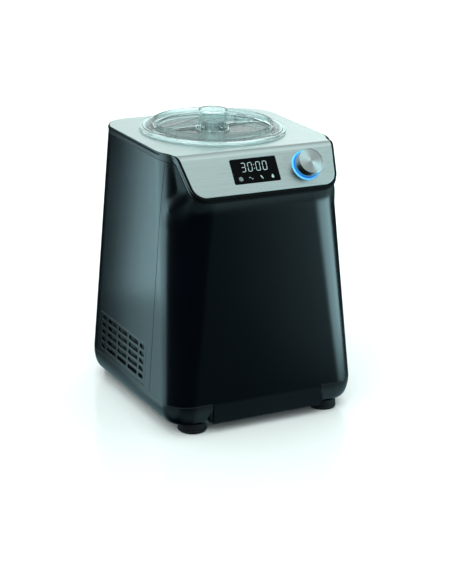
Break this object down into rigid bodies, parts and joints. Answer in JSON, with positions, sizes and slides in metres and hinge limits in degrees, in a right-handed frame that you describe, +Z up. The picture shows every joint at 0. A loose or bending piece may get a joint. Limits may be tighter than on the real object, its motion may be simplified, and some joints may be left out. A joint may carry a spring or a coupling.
{
  "type": "ice cream maker",
  "caption": "Upright compressor ice cream maker: tapered dark housing, steel top plate with sloped control fascia, clear twist-lock lid with refill cover, driven paddle and removable bowl.",
  "frame": {"origin": "on the ground, below the middle of the base", "axes": "+Z up; the sloped control fascia faces -Y; +X is to the right of someone facing the fascia"},
  "size_m": [0.262, 0.2688, 0.3657],
  "materials": {
    "plate_steel": "fine brushed, cool silver",
    "machined_steel": "turned and polished",
    "casing": "satin anthracite moulding",
    "frame": "semi-gloss graphite moulding",
    "rubber": "matt black rubber",
    "window": "glossy black tinted window with lit digits and symbols",
    "clear": "clear moulded plastic",
    "light": "translucent diffuser lit blue",
    "aluminium": "drawn aluminium",
    "paddle": "moulded grey plastic",
    "silicone": "translucent silicone",
    "copper": "drawn copper tube",
    "foam": "rigid insulating foam",
    "nylon": "natural nylon",
    "black_steel": "black painted steel",
    "board": "green circuit board"
  },
  "bodies": {
    "housing": {"top_plate": "plate_steel", "top_frame": "frame", "front_shell": "casing", "rear_shell": "casing", "left_grille": "casing", "right_grille": "casing", "base_pan": "casing", "foot_front_left": "rubber", "foot_front_right": "rubber", "foot_rear_left": "rubber", "foot_rear_right": "rubber", "foot_screw_front_left": "black_steel", "foot_screw_front_right": "black_steel", "foot_screw_rear_left": "black_steel", "foot_screw_rear_right": "black_steel", "display_window": "window", "display_board": "board", "control_board": "board", "knob_light_ring": "light", "encoder_body": "black_steel", "lid_collar": "frame", "evaporator_well": "aluminium", "evaporator_coil": "copper", "insulation_jacket": "foam", "compressor": "black_steel", "compressor_grommet_1": "rubber", "compressor_grommet_2": "rubber", "compressor_grommet_3": "rubber", "condenser": "aluminium", "fan_frame": "black_steel", "filter_drier": "copper", "discharge_pipe": "copper", "suction_pipe": "copper", "idler_axle": "machined_steel", "drive_motor": "machined_steel", "lower_bearing": "machined_steel", "upper_bearing": "machined_steel", "shaft_seal": "rubber", "gearbox_housing": "nylon", "gearbox_cover": "nylon", "mains_board": "board", "cord_gland": "rubber"},
    "encoder_plunger": {"encoder_plunger": "nylon"},
    "knob": {"knob": "machined_steel", "encoder_shaft": "machined_steel"},
    "bowl": {"bowl": "aluminium"},
    "paddle": {"paddle": "paddle", "paddle_scraper": "silicone"},
    "lid_seal": {"lid_seal": "silicone"},
    "lid": {"lid": "clear"},
    "refill_cover": {"refill_cover": "clear"},
    "drive_shaft": {"drive_shaft": "machined_steel", "output_gear": "nylon"},
    "idler_gear": {"idler_gear": "nylon"},
    "motor_rotor": {"motor_rotor": "machined_steel"},
    "fan_rotor": {"fan_rotor": "black_steel"}
  },
  "joints": [
    {"name": "knob_push", "type": "slide", "parent": "housing", "child": "encoder_plunger", "axis": [0, 0.8151, -0.5793], "range_m": [0, 0.001], "stiffness_N_per_m": 3000, "springref_m": -0.0005},
    {"name": "knob_turn", "type": "hinge", "parent": "encoder_plunger", "child": "knob", "pos_m": [0.0611, -0.10045, 0.31783], "axis": [0, -0.8151, 0.5793], "continuous": true},
    {"name": "bowl_lift", "type": "slide", "parent": "housing", "child": "bowl", "axis": [0, 0, 1], "range_m": [0, 0.15]},
    {"name": "paddle_spin", "type": "hinge", "parent": "bowl", "child": "paddle", "pos_m": [0, 0.0303, 0.2], "axis": [0, 0, 1], "continuous": true},
    {"name": "lid_lift", "type": "slide", "parent": "bowl", "child": "lid_seal", "axis": [0, 0, 1], "range_m": [0, 0.06]},
    {"name": "lid_turn", "type": "hinge", "parent": "lid_seal", "child": "lid", "pos_m": [0, 0.0303, 0.34], "axis": [0, 0, 1], "range_deg": [0, 20]},
    {"name": "refill_cover_turn", "type": "hinge", "parent": "lid", "child": "refill_cover", "pos_m": [0, 0.0303, 0.342], "axis": [0, 0, 1], "range_deg": [0, 130]},
    {"name": "drive_spin", "type": "hinge", "parent": "housing", "child": "drive_shaft", "pos_m": [0, 0.0303, 0.15], "axis": [0, 0, 1], "continuous": true},
    {"name": "idler_spin", "type": "hinge", "parent": "housing", "child": "idler_gear", "pos_m": [0.01812, 0.06169, 0.15], "axis": [0, 0, 1], "continuous": true},
    {"name": "motor_spin", "type": "hinge", "parent": "housing", "child": "motor_rotor", "pos_m": [-0.01188, 0.06169, 0.15], "axis": [0, 0, 1], "continuous": true},
    {"name": "fan_spin", "type": "hinge", "parent": "housing", "child": "fan_rotor", "pos_m": [-0.083, 0.019, 0.068], "axis": [1, 0, 0], "continuous": true}
  ],
  "couplings": [
    {"joint": "paddle_spin", "follows": "drive_spin", "ratio": 1},
    {"joint": "idler_spin", "follows": "drive_spin", "ratio": -3.1429},
    {"joint": "motor_spin", "follows": "drive_spin", "ratio": 12.571}
  ]
}
